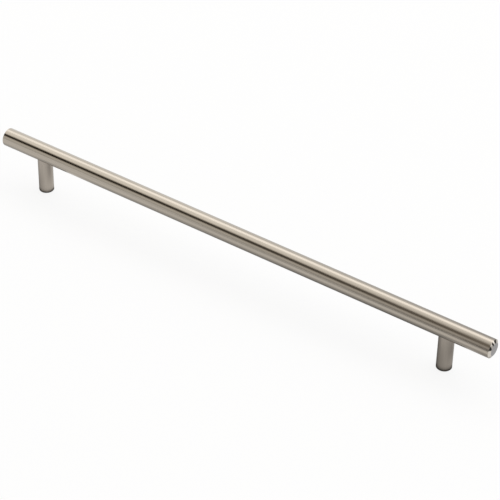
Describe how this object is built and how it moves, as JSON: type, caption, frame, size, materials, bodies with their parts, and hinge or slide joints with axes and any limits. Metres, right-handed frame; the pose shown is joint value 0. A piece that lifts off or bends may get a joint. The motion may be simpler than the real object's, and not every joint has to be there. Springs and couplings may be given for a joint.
{
  "type": "t bar cabinet pull",
  "caption": "Straight round bar with bevelled ends on turned posts, screwed to a door or drawer from behind and pulled with the fingers behind the bar.",
  "frame": {"origin": "midway between the two posts, on the plane of their feet, which is the cabinet front", "axes": "+X along the bar, +Z from the cabinet front out through the posts to the bar"},
  "size_m": [0.3624, 0.012, 0.035],
  "materials": {
    "satin_nickel_bar": "steel with a satin nickel plate, brushed along the bar, with brighter turned bevels at its ends",
    "satin_nickel_post": "steel with a satin nickel plate, fine lathe grain round the post",
    "stud_steel": "bright zinc plated thread"
  },
  "bodies": {
    "root": {"bar": "satin_nickel_bar", "post_left": "satin_nickel_post", "post_right": "satin_nickel_post", "stud_left": "stud_steel", "stud_right": "stud_steel"}
  },
  "joints": []
}
